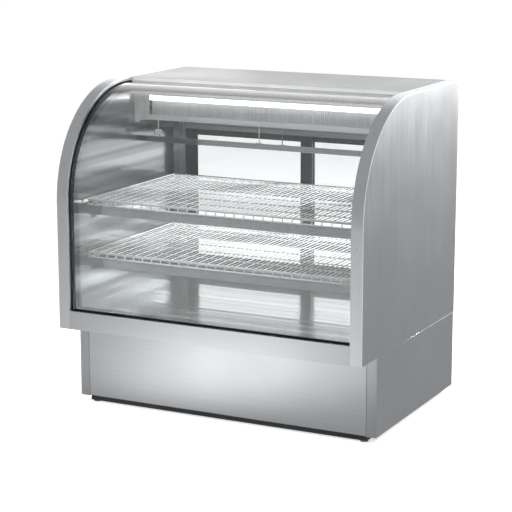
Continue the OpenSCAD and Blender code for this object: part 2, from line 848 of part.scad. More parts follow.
module rear_frame() {
    t = sheet_t;
    color("#c2c5c6") {
        difference() {
            centred(in_x, back_y - t, back_y, body_z + t, case_h - t);
            centred(open_x, back_y - 10, back_y + 10, sill_z, opening_top);
        }
        difference() {
            centred(in_x, rear_in_y, rear_in_y + t, deck_z - t, ceiling_z + t);
            centred(open_x, rear_in_y - 10, rear_in_y + 10, sill_z, opening_top);
        }
        difference() {
            centred(open_x + t, rear_in_y, back_y, sill_z - t, opening_top + t);
            centred(open_x, rear_in_y - 10, back_y + 10, sill_z, opening_top);
        }
    }
}

module door_tracks() {
    y1 = track_y0 + 2 * lane_w + 3 * rib_t;
    ribs = [for (i = [0:2]) track_y0 + i * (lane_w + rib_t)];
    color("#dfe2e3") {
        centred(open_x, track_y0, y1, sill_z, sill_z + track_base);
        for (y = ribs) centred(open_x, y, y + rib_t, sill_z, sill_z + track_base + bottom_rib);
        centred(open_x, track_y0, y1, opening_top - track_base, opening_top);
        for (y = ribs) centred(open_x, y, y + rib_t, opening_top - track_base - top_rib,
            opening_top);
    }
}

// A door with its glass groove, its finger pull and its two glides
module rear_door(side, y) {
    pull_h = 170;
    pull_z = (door_z0 + door_z1) / 2;
    y0 = y - door_t / 2;
    y1 = y + door_t / 2;
    x1 = open_x - 0.5;
    x0 = x1 - door_w;
    color("#3b3f43") on_side(side) {
        difference() {
            slab(x0, x1, y0, y1, door_z0, door_z1);
            slab(x0 + stile_w, x1 - stile_w, y0 - 1, y1 + 1, door_z0 + stile_w - 8,
                door_z1 - stile_w + 15);
            slab(x0 + stile_w - groove, x1 - stile_w + groove, y - door_glass_t / 2,
                y + door_glass_t / 2, door_z0 + stile_w - 8 - groove,
                door_z1 - stile_w + 15 + groove);
            slab(x1 - stile_w + 12, x1 - 12, y + 1, y1 + 1, pull_z - pull_h / 2,
                pull_z + pull_h / 2);
        }
        slab(x1 - stile_w + 8, x1 - stile_w + 12, y1 - eps, y1 + 4, pull_z - pull_h / 2,
            pull_z + pull_h / 2);
        for (x = [x0 + 40, x1 - 80]) slab(x, x + 40, y0 + 2, y1 - 2, sill_z + track_base,
            door_z0 + eps);
    }
}
module rear_door_left() { rear_door(-1, lane_y[0]); }
module rear_door_right() { rear_door(1, lane_y[1]); }

module door_glass(side, y) {
    x1 = open_x - 0.5;
    x0 = x1 - door_w;
    color([0.8, 0.87, 0.88, 0.3]) on_side(side)
        slab(x0 + stile_w - groove, x1 - stile_w + groove, y - door_glass_t / 2,
            y + door_glass_t / 2, door_z0 + stile_w - 8 - groove,
            door_z1 - stile_w + 15 + groove);
}
module door_glass_left() { door_glass(-1, lane_y[0]); }
module door_glass_right() { door_glass(1, lane_y[1]); }

// ---- Shelves ----

// The height of the rails' underside below a shelf's top
function rail_z(shelf_z) = shelf_z - shelf_edge_h - shelf_rail_h;

// The polished channel frame under each shelf
module shelf_rails() {
    t = sheet_t;
    w = shelf_rail_w;
    color("#8f9396") for (z = [rail_z(lower_shelf_z), rail_z(upper_shelf_z)]) difference() {
        centred(shelf_x, shelf_y0, shelf_y1, z, z + shelf_rail_h);
        centred(shelf_x - w, shelf_y0 + w, shelf_y1 - w, z - 1, z + shelf_rail_h + 1);
        difference() {
            centred(shelf_x - t, shelf_y0 + t, shelf_y1 - t, z - 1, z + shelf_rail_h - t);
            centred(shelf_x - w + t, shelf_y0 + w - t, shelf_y1 - w + t, z - 2, z + 100);
        }
    }
}

// One fence of a shelf: a row of openings between a top and a bottom wire
module fence(length) {
    count = floor((length - wire_d) / wire_pitch);
    pitch = (length - wire_d) / count;
    difference() {
        cube([length, wire_d, shelf_edge_h]);
        for (i = [0:count - 1]) translate([i * pitch + wire_d, -1, wire_d])
            cube([pitch - wire_d, wire_d + 2, shelf_edge_h - 2 * wire_d]);
    }
}

module shelf_wire(z) {
    w = 2 * shelf_x;
    d = shelf_y1 - shelf_y0;
    count = floor((w - wire_d) / wire_pitch);
    pitch = (w - wire_d) / count;
    bars = 4;
    bar_pitch = (d - wire_d) / bars;
    color("#f4f5f5") translate([-shelf_x, shelf_y0, z - shelf_edge_h]) {
        translate([0, 0, shelf_edge_h - wire_d]) linear_extrude(wire_d) difference() {
            square([w, d]);
            for (i = [0:count - 1], j = [0:bars - 1])
                translate([i * pitch + wire_d, j * bar_pitch + wire_d])
                square([pitch - wire_d, bar_pitch - wire_d]);
        }
        fence(w);
        translate([0, d - wire_d, 0]) fence(w);
        for (x = [wire_d, w]) translate([x, 0, 0]) rotate([0, 0, 90]) fence(d);
    }
}
module shelf_wire_upper() { shelf_wire(upper_shelf_z); }
module shelf_wire_lower() { shelf_wire(lower_shelf_z); }

// Studs with an ear under each corner of the shelf rails
module shelf_clips() {
    color("#a7abad") for (side = [-1, 1], y = [shelf_y0 + 40, shelf_y1 - 70],
        z = [rail_z(lower_shelf_z), rail_z(upper_shelf_z)]) on_side(side) {
        slab(shelf_x - 14, in_x, y, y + 30, z - 5, z);
        slab(in_x - 4, in_x, y, y + 30, z - 22, z + 10);
    }
}

base_rails();
leveling_foot_fl();
leveling_foot_fr();
leveling_foot_rl();
leveling_foot_rr();
base_floor_pan();
base_posts();
base_front_panel();
base_side_panel_left();
base_side_panel_right();
base_rear_grille();
compressor();
compressor_grommets();
condenser_coil();
fan_shroud();
fan_motor();
fan_blade();
filter_drier();
refrigerant_lines();
condensate_pan();
electrical_box();
thermostat_knob();
light_switch();
power_inlet();
drain_tube();
floor_underpan();
cabinet_foam();
deck_pan();
front_apron();
end_skin_left();
end_skin_right();
end_foam();
end_liner_left();
end_liner_right();
end_trim_left();
end_trim_right();
trim_screws();
glass_gaskets();
glass_outer();
glass_inner();
glass_spacer();
top_panel();
ceiling_liner();
lamp_housing();
lamp_tube();
evaporator_fins();
evaporator_tubes();
coil_brackets();
drip_pan();
pan_hangers();
rear_frame();
door_tracks();
rear_door_left();
rear_door_right();
door_glass_left();
door_glass_right();
shelf_rails();
shelf_wire_upper();
shelf_wire_lower();
shelf_clips();
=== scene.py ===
# %% [markdown]
# # A curved-glass refrigerated deli case
#
# The case stands on a set-back steel base. Its insulated body has flat brushed end walls, a curved
# double-glazed front clamped by trim strips, two coated-wire shelves, a lamp, a finned coil over a
# drip pan, and two sliding doors at the back. The design is already packed as a fixed frame of
# pieces, so this lesson gives every piece its finish and models what needs finer shapes.

# %% The frame
import math
import bmesh
import bpy
from mathutils import Matrix, Vector


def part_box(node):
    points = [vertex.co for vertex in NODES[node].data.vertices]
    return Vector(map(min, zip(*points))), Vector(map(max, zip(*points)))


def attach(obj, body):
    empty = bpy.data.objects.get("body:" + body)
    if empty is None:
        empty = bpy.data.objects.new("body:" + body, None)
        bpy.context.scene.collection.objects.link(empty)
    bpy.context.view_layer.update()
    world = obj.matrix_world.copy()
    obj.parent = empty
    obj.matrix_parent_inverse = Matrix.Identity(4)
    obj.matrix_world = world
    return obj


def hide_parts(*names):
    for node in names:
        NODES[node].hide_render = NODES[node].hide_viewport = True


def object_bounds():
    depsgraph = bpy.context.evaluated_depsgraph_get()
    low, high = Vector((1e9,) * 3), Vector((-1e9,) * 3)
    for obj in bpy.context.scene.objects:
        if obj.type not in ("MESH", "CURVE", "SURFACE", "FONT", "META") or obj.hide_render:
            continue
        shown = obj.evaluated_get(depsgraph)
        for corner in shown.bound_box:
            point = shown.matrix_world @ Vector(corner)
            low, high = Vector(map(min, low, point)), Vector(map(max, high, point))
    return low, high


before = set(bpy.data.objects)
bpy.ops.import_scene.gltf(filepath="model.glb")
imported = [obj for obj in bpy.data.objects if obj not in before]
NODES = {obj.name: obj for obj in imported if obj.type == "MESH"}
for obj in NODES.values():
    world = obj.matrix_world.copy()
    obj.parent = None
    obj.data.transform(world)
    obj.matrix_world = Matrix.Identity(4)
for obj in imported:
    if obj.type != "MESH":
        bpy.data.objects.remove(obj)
CAD_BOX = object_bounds()
MM = 0.001
print("loaded", len(NODES), "nodes; the case measures", [round(v, 3) for v in CAD_BOX[1] - CAD_BOX[0]])

# %% [markdown]
# ## Camera
# The case is seen from its right front, a little from above, with a long lens from some six and a
# half metres. A camera looks along its own -Z, so its rotation follows from the direction that
# points back from the case to it. The lens is shifted down slightly instead of being tilted more.

# %% Camera
AZIMUTH = math.radians(26.79)
ELEVATION = math.radians(11.67)
ROLL = math.radians(-0.08)
back = Vector((math.sin(AZIMUTH) * math.cos(ELEVATION),
               -math.cos(AZIMUTH) * math.cos(ELEVATION),
               math.sin(ELEVATION)))
camera = bpy.data.objects.new("camera", bpy.data.cameras.new("camera"))
bpy.context.scene.collection.objects.link(camera)
camera.rotation_mode = "QUATERNION"
camera.rotation_quaternion = ((-back).to_track_quat("-Z", "Y")
                              @ Matrix.Rotation(ROLL, 3, "Z").to_quaternion())
camera.location = (2.859, -5.700, 1.927)
camera.data.sensor_width = 36
camera.data.lens = 121.56
camera.data.shift_x = 0.0006
camera.data.shift_y = -0.0231
camera.data.clip_end = 200
bpy.context.scene.camera = camera
print("camera", round((camera.location - Vector((0, 0, 0.6))).length, 2), "m from the case")

# %% [markdown]
# ## Colours and nodes
# Finishes are given as sRGB hex values, as a paint card would, and one function turns them into the
# linear values that a shader works with. Another small function adds any node with its settings,
# values and links, so that each finish below reads as a short recipe.

# %% Colour and node helpers
def linear(hex_colour):
    """An sRGB hex colour as linear RGBA."""
    channels = [int(hex_colour[i:i + 2], 16) / 255 for i in (1, 3, 5)]
    return [c / 12.92 if c <= 0.04045 else ((c + 0.055) / 1.055) ** 2.4 for c in channels] + [1]


def add(tree, kind, values=None, links=None, **settings):
    """One node: settings are its own properties, values and links fill its inputs."""
    node = tree.nodes.new(kind)
    for name, value in settings.items():
        setattr(node, name, value)
    for name, value in (values or {}).items():
        node.inputs[name].default_value = value
    for name, source in (links or {}).items():
        tree.links.new(source, node.inputs[name])
    return node


def start(name, **values):
    """A new material with its Principled shader, and the Object coordinates that patterns read."""
    mat = bpy.data.materials.new(name)
    mat.use_nodes = True
    tree = mat.node_tree
    shader = tree.nodes["Principled BSDF"]
    for socket, value in values.items():
        shader.inputs[socket.replace("_", " ")].default_value = value
    place = add(tree, "ShaderNodeTexCoord").outputs["Object"]
    return mat, tree, shader, place


def noise(tree, place, size_mm, stretch=(1, 1, 1), detail=2.0):
    """Noise whose features are size_mm across, drawn out along the axes with a small stretch."""
    mapping = add(tree, "ShaderNodeMapping", {"Scale": stretch}, {"Vector": place})
    return add(tree, "ShaderNodeTexNoise", {"Scale": 1 / (size_mm * MM), "Detail": detail},
               {"Vector": mapping.outputs["Vector"]}).outputs["Fac"]


def spread(tree, source, low, high, narrow=0.3):
    """Noise gathers round its middle, so its useful part is mapped to low and high."""
    return add(tree, "ShaderNodeMapRange", {"From Min": narrow, "From Max": 1 - narrow,
                                            "To Min": low, "To Max": high},
               {"Value": source}).outputs["Result"]


def shade(tree, source, dark, light):
    """A colour between two hex values."""
    mix = add(tree, "ShaderNodeMix", {"A": (0, 0, 0, 1)}, data_type="RGBA")
    mix.inputs[6].default_value = linear(dark)
    mix.inputs[7].default_value = linear(light)
    tree.links.new(source, mix.inputs[0])
    return mix.outputs[2]


def bump(tree, shader, source, height_mm, strength=1.0):
    """A surface relief of a given height."""
    relief = add(tree, "ShaderNodeBump", {"Strength": strength, "Distance": height_mm * MM},
                 {"Height": source})
    tree.links.new(relief.outputs["Normal"], shader.inputs["Normal"])


def dress(mat, *nodes):
    """Give CAD nodes a material and nothing else."""
    for name in nodes:
        NODES[name].data.materials.clear()
        NODES[name].data.materials.append(mat)


GRAIN = {"X": (0.01, 1, 1), "Y": (1, 0.01, 1), "Z": (1, 1, 0.01)}

# %% [markdown]
# ## Brushed stainless steel
# The outside is AISI 304 sheet with a No. 4 finish: a belt drags fine parallel scratches along the
# sheet, which blur what it mirrors across the grain and leave a soft sheen. Real scratches are under
# half a millimetre apart. From a few metres they merge into faint streaks, so a coarser layer of
# streaks, some 4 mm across, is drawn over the fine grain, and a slow cloudiness breaks up the sheen.

# %% Brushed sheets
def brushed_steel(name, dark, light, along, rough):
    mat, tree, shader, place = start(name, Metallic=1.0)
    fine = noise(tree, place, 0.6, GRAIN[along])
    streaks = noise(tree, place, 4, GRAIN[along])
    clouds = noise(tree, place, 260)
    both = add(tree, "ShaderNodeMath", {}, {0: fine, 1: streaks}, operation="ADD").outputs[0]
    half = add(tree, "ShaderNodeMath", {1: 0.5}, {0: both}, operation="MULTIPLY").outputs[0]
    tree.links.new(shade(tree, spread(tree, half, 0, 1), dark, light), shader.inputs["Base Color"])
    worn = add(tree, "ShaderNodeMath", {}, {0: spread(tree, half, -0.04, 0.04),
                                            1: spread(tree, clouds, rough - 0.02, rough + 0.03)},
               operation="ADD").outputs[0]
    tree.links.new(worn, shader.inputs["Roughness"])
    bump(tree, shader, half, 0.02, 0.35)
    return mat


# The upright copy is darker than the level one: painted shade on the end skins and base sides.
steel_upright = brushed_steel("brushed_stainless_upright_painted_shade", "#b4b6b8", "#c6c8ca", "Z", 0.34)
steel_level = brushed_steel("brushed_stainless_level", "#c6c8ca", "#d4d6d8", "X", 0.34)
# The strip copy is lighter than the level one: painted light on the end trim strips.
steel_strip = brushed_steel("brushed_stainless_strip_painted_light", "#d8dadc", "#e4e6e8", "Z", 0.32)
dress(steel_upright, "end_skin_left", "end_skin_right", "base_side_panel_left",
      "base_side_panel_right")
# The top copy is far darker than the level one: painted shade on the top panel.
steel_top_painted_shade = brushed_steel("brushed_stainless_top_painted_shade", "#898b8d", "#999b9d", "X", 0.34)
dress(steel_level, "front_apron", "base_front_panel", "rear_frame", "base_rear_grille")
dress(steel_top_painted_shade, "top_panel")
dress(steel_strip, "end_trim_left", "end_trim_right")


def painted_highlight_edge(mat, start):
    """A painted highlight: past start in |X| the colour ramps over 0.4 mm to near white, and the sheet
    turns less metallic.
    """
    tree = mat.node_tree
    shader = tree.nodes["Principled BSDF"]
    apart = add(tree, "ShaderNodeSeparateXYZ", {},
                {0: add(tree, "ShaderNodeTexCoord").outputs["Object"]})
    outward = add(tree, "ShaderNodeMath", {}, {0: apart.outputs["X"]}, operation="ABSOLUTE")
    edge = add(tree, "ShaderNodeMapRange", {"From Min": start, "From Max": start + 0.4 * MM},
               {"Value": outward.outputs[0]}).outputs["Result"]
    painted_highlight_mix = add(tree, "ShaderNodeMix", data_type="RGBA")
    painted_highlight_mix.inputs[7].default_value = linear("#f2f3f4")
    tree.links.new(edge, painted_highlight_mix.inputs[0])
    tree.links.new(shader.inputs["Base Color"].links[0].from_socket, painted_highlight_mix.inputs[6])
    tree.links.new(painted_highlight_mix.outputs[2], shader.inputs["Base Color"])
    tree.links.new(add(tree, "ShaderNodeMapRange", {"To Min": 1.0, "To Max": 0.35},
                       {"Value": edge}).outputs["Result"], shader.inputs["Metallic"])


# The outer 2 mm of each end trim strip is painted near white: a painted highlight along its fold.
painted_highlight_edge(steel_strip, CAD_BOX[1].x - 2.4 * MM)
print("brushed finishes:", 4)

# %% [markdown]
# ## Bright liner
# The inside is lined with bright-annealed stainless sheet. It is not polished flat: cold rolling
# leaves long shallow waves that pull reflections into bands along the sheet. The waves run
# level here, so they are noise drawn out along Y, used as a shallow relief. The same noise also
# moves the base colour from dark to light grey: painted reflection bands over the real relief.

# %% Liner sheets
def liner_steel(name, dark, light, along):
    mat, tree, shader, place = start(name, Metallic=1.0)
    relief_and_painted_bands = noise(tree, place, 46, GRAIN[along], 1.0)
    grain = noise(tree, place, 3, GRAIN[along])
    tree.links.new(shade(tree, spread(tree, relief_and_painted_bands, 0, 1), dark, light), shader.inputs["Base Color"])
    tree.links.new(spread(tree, grain, 0.1, 0.2), shader.inputs["Roughness"])
    bump(tree, shader, relief_and_painted_bands, 2.4, 0.6)
    return mat


liner = liner_steel("bright_liner_level", "#66686a", "#c3c5c7", "Y")
liner_flat = liner_steel("bright_liner_floor", "#adafb1", "#c6c8ca", "X")
liner_head = liner_steel("bright_liner_ceiling", "#77797b", "#8f9193", "X")
dress(liner, "end_liner_left", "end_liner_right")
dress(liner_flat, "deck_pan")
dress(liner_head, "ceiling_liner")

# %% [markdown]
# ## Polished rails and pan
# The shelf rails and the drip pan are polished stainless, close to a mirror, with fine buffing
# marks along their length.

# %% Polished steel
def polished_steel(name, dark, light):
    mat, tree, shader, place = start(name, Metallic=1.0)
    marks = noise(tree, place, 2, GRAIN["X"])
    slow = noise(tree, place, 90, (0.2, 1, 1))
    tree.links.new(shade(tree, spread(tree, slow, 0, 1), dark, light), shader.inputs["Base Color"])
    tree.links.new(spread(tree, marks, 0.06, 0.14), shader.inputs["Roughness"])
    bump(tree, shader, slow, 0.3, 0.2)
    return mat


# The rail copy is near black: painted shade, the dark front that the polished rails mirror drawn into
# their colour.
rail_steel_painted_shade = polished_steel("polished_stainless_painted_shade", "#4c4e51", "#5e6063")
pan_steel = polished_steel("polished_stainless", "#c6c9cc", "#dcdfe2")
dress(rail_steel_painted_shade, "shelf_rails", "shelf_clips")
dress(pan_steel, "drip_pan")

# %% [markdown]
# ## Paint, plastic, rubber and foam
# These finishes differ in colour, gloss and grain size, so one recipe serves them all: a little
# colour variation, a roughness that wanders, and a fine relief such as orange peel or a moulded
# texture.

# %% Plain finishes
def plain(name, dark, light, rough, grain_mm, height_mm, metallic=0.0, patches=(120, (1, 1, 1)),
          **values):
    mat, tree, shader, place = start(name, Metallic=metallic, **values)
    slow = noise(tree, place, *patches)
    grain = noise(tree, place, grain_mm)
    tree.links.new(shade(tree, spread(tree, slow, 0, 1), dark, light), shader.inputs["Base Color"])
    tree.links.new(spread(tree, grain, rough - 0.05, rough + 0.05), shader.inputs["Roughness"])
    bump(tree, shader, grain, height_mm, 0.4)
    return mat


# Powder-coated steel of the base rails: nearly black, with a soft gloss
dark_paint = plain("powder_coated_steel", "#2b2e31", "#383b3f", 0.45, 1.5, 0.03)
# Hot-dip galvanised sheet: grey, with patches of differing gloss
galvanised = plain("galvanised_sheet", "#9fa3a6", "#bbbfc2", 0.42, 14, 0.02, 0.85)
# Zinc-plated screws and feet
zinc = plain("zinc_plated_steel", "#8d9092", "#a7aaac", 0.35, 2, 0.02, 1.0)
# Polyurethane foam, seen only where a panel is off
foam = plain("polyurethane_foam", "#d9cc98", "#efe4b9", 0.85, 2, 0.3)
# EPDM rubber of the glass seals
seal = plain("epdm_rubber", "#0c0d0e", "#17181a", 0.48, 1, 0.03)
# Butyl sealant and its black spacer bar between the panes
butyl = plain("black_spacer_bar", "#08090a", "#111213", 0.35, 3, 0.02)
# Anodised aluminium extrusions of the doors
anodised = plain("dark_anodised_aluminium", "#33373b", "#43474b", 0.36, 0.8, 0.01, 0.8)
# White rigid PVC of the door tracks
track_pvc = plain("white_rigid_pvc", "#dcdfe0", "#eceeee", 0.38, 3, 0.02)
# Stoved white enamel of the lamp and coil fittings
enamel = plain("white_enamel", "#eff0f1", "#fafafa", 0.3, 2, 0.03)
# Plastisol coating that is dipped onto the shelf wire: thick, soft and glossy
plastisol = plain("white_plastisol", "#eceeee", "#fafafa", 0.32, 2, 0.05)
# Aluminium fins of both coils
fin_metal = plain("fin_aluminium", "#eceef0", "#ffffff", 0.42, 5, 0.03, 0.0, (9, GRAIN["Z"]))
# Drawn copper tube
copper = plain("drawn_copper", "#a9633a", "#c27a4a", 0.32, 6, 0.02, 1.0)
# Black enamel of the compressor's shell
shell_paint = plain("black_gloss_paint", "#17191a", "#222426", 0.3, 2, 0.04)
# Nitrile rubber mounts
rubber = plain("nitrile_rubber", "#131414", "#1f2020", 0.6, 1, 0.04)
# Moulded ABS of knob, switch and cord gland
abs_plastic = plain("black_abs", "#131416", "#1e2022", 0.4, 0.7, 0.03)
# Painted steel can of the fan motor
motor_paint = plain("grey_motor_paint", "#4a4e51", "#5c6063", 0.45, 2, 0.03)
# Pressed aluminium of the fan blades
blade_metal = plain("pressed_aluminium", "#c6c9cb", "#dadcdd", 0.34, 8, 0.02, 1.0)
# Light grey PVC of the drain
drain_pvc = plain("grey_pvc_pipe", "#bfc3c5", "#d1d4d6", 0.36, 3, 0.02)
# Stainless screw heads
screw_steel = plain("stainless_screw", "#c3c6c8", "#dde0e1", 0.25, 1, 0.01, 1.0)

dress(dark_paint, "base_rails", "electrical_box")
dress(galvanised, "base_floor_pan", "base_posts", "fan_shroud", "condensate_pan", "floor_underpan")
dress(zinc, "leveling_foot_fl", "leveling_foot_fr", "leveling_foot_rl", "leveling_foot_rr")
dress(foam, "cabinet_foam", "end_foam")
dress(seal, "glass_gaskets")
dress(butyl, "glass_spacer")
dress(anodised, "rear_door_left", "rear_door_right")
dress(track_pvc, "door_tracks")
dress(enamel, "lamp_housing", "coil_brackets", "pan_hangers")
dress(copper, "evaporator_tubes", "refrigerant_lines", "filter_drier")
dress(shell_paint, "compressor")
dress(rubber, "compressor_grommets")
dress(abs_plastic, "thermostat_knob", "light_switch", "power_inlet")
dress(motor_paint, "fan_motor")
dress(blade_metal, "fan_blade")
dress(drain_pvc, "drain_tube")
dress(screw_steel, "trim_screws")

# %% [markdown]
# ## Glass
# The front is two panes of tempered float glass bent to a quarter circle. Float glass is almost
# colourless face on and greenish along its edges. A lamp's light passes through it nearly straight,
# which a render can't find by chance, so rays towards lamps take a clear shader instead.

# %% Panes
def float_glass(name, tint, film):
    mat, tree, shader, place = start(name, IOR=1.5, Transmission_Weight=1.0)
    wiped = noise(tree, place, 60, (0.3, 1, 1))
    tree.links.new(shade(tree, wiped, tint, "#ffffff"), shader.inputs["Base Color"])
    tree.links.new(spread(tree, wiped, 0.0, film), shader.inputs["Roughness"])
    clear = add(tree, "ShaderNodeBsdfTransparent", {"Color": linear("#fcfdfd")})
    lamp_ray = add(tree, "ShaderNodeLightPath").outputs["Is Shadow Ray"]
    either = add(tree, "ShaderNodeMixShader", {}, {0: lamp_ray, 1: shader.outputs[0],
                                                   2: clear.outputs[0]})
    output = tree.nodes["Material Output"]
    tree.links.new(either.outputs[0], output.inputs["Surface"])
    return mat


curved_glass = float_glass("bent_float_glass", "#fcfefe", 0.012)
flat_glass = float_glass("door_float_glass", "#fbfdfd", 0.012)
dress(curved_glass, "glass_outer", "glass_inner")
dress(flat_glass, "door_glass_left", "door_glass_right")

# %% [markdown]
# ## Lamp
# A fluorescent tube glows evenly along its length. Its phosphor coating is white when unlit.

# %% Lamp tube
lamp_glow, lamp_tree, lamp_shader, lamp_place = start(
    "fluorescent_phosphor", Emission_Strength=3.2, Emission_Color=(1, 1, 1, 1), Roughness=0.3)
lamp_tree.links.new(shade(lamp_tree, noise(lamp_tree, lamp_place, 40), "#f2f4f5", "#ffffff"),
                    lamp_shader.inputs["Base Color"])
dress(lamp_glow, "lamp_tube")

# %% [markdown]
# ## Pieces of wire and sheet
# Most new pieces are wires, rods and thin plates. A wire is a circle that is extruded, and spun
# where it bends. A plate is a cube stretched between two corners.

# %% Modelling helpers
def finish_piece(bm, name, body, mat, replaces=(), smooth=False):
    """Turn a bmesh into a piece that rides on a body and has its material."""
    bmesh.ops.remove_doubles(bm, verts=bm.verts, dist=1e-6)
    bmesh.ops.recalc_face_normals(bm, faces=bm.faces)
    for face in bm.faces:
        face.smooth = smooth
    mesh = bpy.data.meshes.new(name)
    bm.to_mesh(mesh)
    bm.free()
    piece = bpy.data.objects.new(name, mesh)
    bpy.context.scene.collection.objects.link(piece)
    mesh.materials.append(mat)
    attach(piece, body)
    if replaces:
        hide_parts(*replaces)
    print(name, "has", len(mesh.polygons), "faces")
    return piece


def plate(bm, low, high):
    """A box between two corners."""
    low, high = Vector(low), Vector(high)
    size = high - low
    place = Matrix.Translation((low + high) / 2) @ Matrix.Diagonal((*size, 1))
    return bmesh.ops.create_cube(bm, size=1, matrix=place)["verts"]


def rod(bm, a, b, diameter, segments=10):
    """A straight round wire from a to b."""
    a, b = Vector(a), Vector(b)
    turn = (b - a).to_track_quat("Z", "Y").to_matrix().to_4x4()
    return bmesh.ops.create_cone(
        bm, cap_ends=True, segments=segments, radius1=diameter / 2, radius2=diameter / 2,
        depth=(b - a).length, matrix=Matrix.Translation((a + b) / 2) @ turn)["verts"]


# %% [markdown]
# ## Wire shelves
# A shelf is a mat of steel wires, welded to heavier cross wires and then dipped in white
# plastisol. Every second deck wire turns down at the front and back to a lower rim wire, which
# gives the edge its row of small windows. The mat could be an array modifier, but looping over the
# wires keeps them all the same and lets the turned-down ones differ.

# %% Shelves
WIRE = 3.6 * MM
RIM = 6 * MM
BEND = 7 * MM
PITCH = 19 * MM


def turned_wire(bm, x, y_back, y_front, z_top, z_low):
    """A deck wire that turns down at both ends."""
    circle = bmesh.ops.create_circle(
        bm, segments=8, radius=WIRE / 2 * 1.5, cap_ends=False,
        matrix=Matrix.Translation((x, y_back, z_low)))["verts"]
    ring = list(dict.fromkeys(e for v in circle for e in v.link_edges))

    def pull(edges, step):
        made = bmesh.ops.extrude_edge_only(bm, edges=edges)["geom"]
        verts = [g for g in made if isinstance(g, bmesh.types.BMVert)]
        bmesh.ops.translate(bm, verts=verts, vec=step)
        return [g for g in made if isinstance(g, bmesh.types.BMEdge) and all(
            v in verts for v in g.verts)]

    def turn(edges, centre):
        made = bmesh.ops.spin(bm, geom=edges, cent=centre, axis=(1, 0, 0),
                              angle=math.radians(90), steps=4, use_duplicate=False)["geom_last"]
        return [g for g in made if isinstance(g, bmesh.types.BMEdge)]

    ring = pull(ring, (0, 0, z_top - BEND - z_low))
    ring = turn(ring, (x, y_back - BEND, z_top - BEND))
    ring = pull(ring, (0, y_front - y_back + 2 * BEND, 0))
    ring = turn(ring, (x, y_front + BEND, z_top - BEND))
    pull(ring, (0, 0, z_low - z_top + BEND))


def wire_shelf(name, node, body):
    low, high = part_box(node)
    top = high.z - WIRE
    foot = low.z + RIM / 2
    front, rear = low.y + RIM / 2, high.y - RIM / 2
    bm = bmesh.new()
    count = round((high.x - low.x - RIM) / PITCH / 2) * 2
    step = (high.x - low.x - RIM) / count
    for i in range(count + 1):
        x = low.x + RIM / 2 + i * step
        if i % 2 == 0:
            turned_wire(bm, x, rear, front, top, foot)
        else:
            rod(bm, (x, front, top), (x, rear, top), WIRE, 8)
    bmesh.ops.holes_fill(bm, edges=bm.edges)
    under = top - WIRE / 2 - RIM / 2
    for i in range(7):
        y = front + BEND + i * (rear - front - 2 * BEND) / 6
        rod(bm, (low.x + RIM / 2, y, under), (high.x - RIM / 2, y, under), RIM * 0.8, 8)
    for y in (front, rear):
        rod(bm, (low.x, y, high.z - RIM / 2), (high.x, y, high.z - RIM / 2), RIM)
        rod(bm, (low.x, y, foot), (high.x, y, foot), RIM)
    for x in (low.x + RIM / 2, high.x - RIM / 2):
        rod(bm, (x, front, high.z - RIM / 2), (x, rear, high.z - RIM / 2), RIM)
        rod(bm, (x, front, foot), (x, rear, foot), RIM)
    return finish_piece(bm, name, body, plastisol, [node], smooth=True)


wire_shelf("coated_wire_shelf_upper", "shelf_wire_upper", "shelf_upper")
wire_shelf("coated_wire_shelf_lower", "shelf_wire_lower", "shelf_lower")

# %% [markdown]
# ## Folded edges
# A press brake can't fold sheet to a knife edge: each fold has a radius about as large as the
# sheet is thick, and a bright line runs along it. The design keeps its folds square, so a bevel
# modifier rounds them here. The design's mesh is loose triangles, so a weld joins them first.

# %% Rounded folds
def soften(radius_mm, *nodes):
    for name in nodes:
        weld = NODES[name].modifiers.new("weld", "WELD")
        weld.merge_threshold = 0.02 * MM
        fold = NODES[name].modifiers.new("fold", "BEVEL")
        fold.width = radius_mm * MM
        fold.segments = 2
        fold.limit_method = "ANGLE"
        fold.angle_limit = math.radians(40)
        fold.use_clamp_overlap = True
        fold.harden_normals = False
    print("rounded", len(nodes), "pieces to", radius_mm, "mm")


soften(0.7, "end_skin_left", "end_skin_right", "base_side_panel_left", "base_side_panel_right",
       "base_front_panel", "front_apron", "top_panel", "drip_pan", "rear_door_left",
       "rear_door_right")
soften(1.5, "shelf_rails", "electrical_box", "lamp_housing")

# %% [markdown]
# ## Hems
# The upper edge of each base side is folded back on itself, which leaves a smooth rounded hem
# that hides the cut edge and catches some real light. Its colour is drawn whiter and less metallic
# than the sheet: a painted highlight along the seam under the body.

# %% Hems of the base sides
HEM_RADIUS = 1.8 * MM


def hem(name, node, side):
    low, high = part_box(node)
    radius = HEM_RADIUS
    x = (high.x if side > 0 else low.x) - side * 0.2 * MM
    bm = bmesh.new()
    rod(bm, (x, low.y, high.z - radius), (x, high.y, high.z - radius), radius * 2, 12)
    return finish_piece(bm, name, "cabinet", hem_painted_highlight, smooth=True)


# Whiter and less metallic than the sheet: a painted highlight on the hem.
hem_painted_highlight = plain("folded_hem_painted_highlight", "#e6e8ea", "#f6f7f8", 0.25, 3, 0.01, 0.4)
hem("base_hem_left", "base_side_panel_left", -1)
hem("base_hem_right", "base_side_panel_right", 1)

# %% [markdown]
# ## Head fold highlight
# A white enamelled strip over the front fold of the top panel, above the curved glass, is a painted
# highlight: it draws the fold's bright line as one white line across the whole case.

# %% Head fold highlight
low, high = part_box("top_panel")
head_highlight_bm = bmesh.new()
glass_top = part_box("glass_outer")[1].z
plate(head_highlight_bm, (low.x, low.y - 0.4 * MM, glass_top + 0.1 * MM), (high.x, low.y, high.z - 0.3 * MM))
plate(head_highlight_bm, (low.x, low.y - 8 * MM, glass_top + 0.1 * MM), (high.x, low.y, glass_top + 1.2 * MM))
finish_piece(head_highlight_bm, "head_fold_painted_highlight", "cabinet", enamel)

# %% [markdown]
# ## Edge beads
# A bead of black EPDM lies on the glass beside each trim strip and keeps water out of the joint. A
# round section is pushed up the front, spun round the bend and drawn back along the flat top.

# %% Edge beads
GLASS_FLAT = 56 * MM


